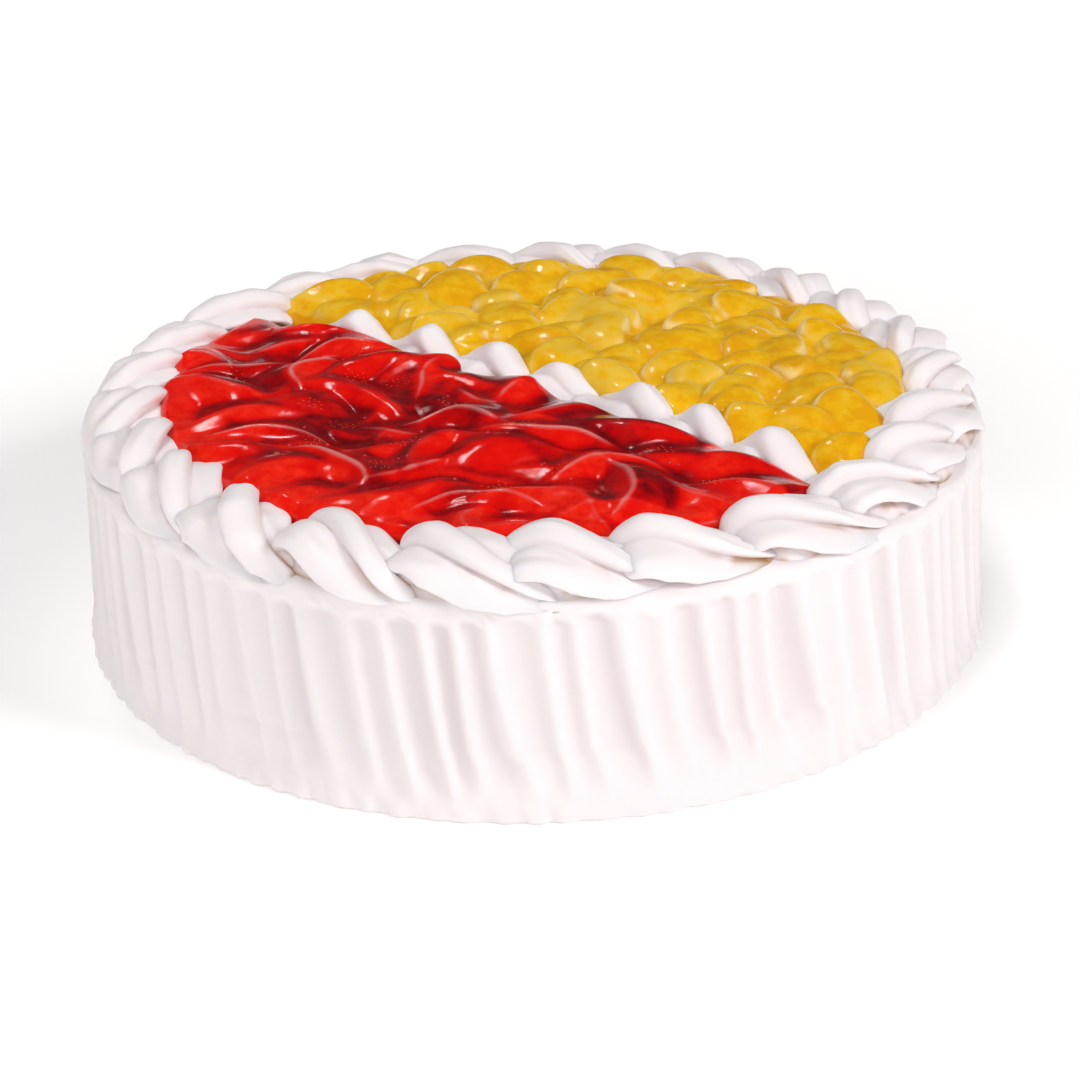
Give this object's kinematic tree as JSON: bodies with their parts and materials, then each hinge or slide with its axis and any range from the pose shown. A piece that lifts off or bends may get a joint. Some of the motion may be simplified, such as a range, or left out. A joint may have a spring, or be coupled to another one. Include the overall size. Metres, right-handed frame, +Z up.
{
  "type": "tres leches cake",
  "caption": "Uncut round cake frosted with combed whipped cream, a piped shell border, and strawberry and yellow peach toppings split by a piped cream row.",
  "frame": {"origin": "middle of the flat underside, on the surface that the cake stands on", "axes": "+Z up; -Y towards the viewer of the picture; +X to the viewer's right"},
  "size_m": [0.25, 0.25, 0.0696],
  "materials": {
    "whipped_cream": "soft satin whipped cream",
    "piped_cream": "soft satin piped cream",
    "strawberry_gel": "wet gloss",
    "peach_gel": "wet gloss"
  },
  "bodies": {
    "root": {"cake_body": "whipped_cream", "rim_shells": "piped_cream", "divider_shells": "piped_cream", "strawberry_topping": "strawberry_gel", "peach_topping": "peach_gel"}
  },
  "joints": []
}
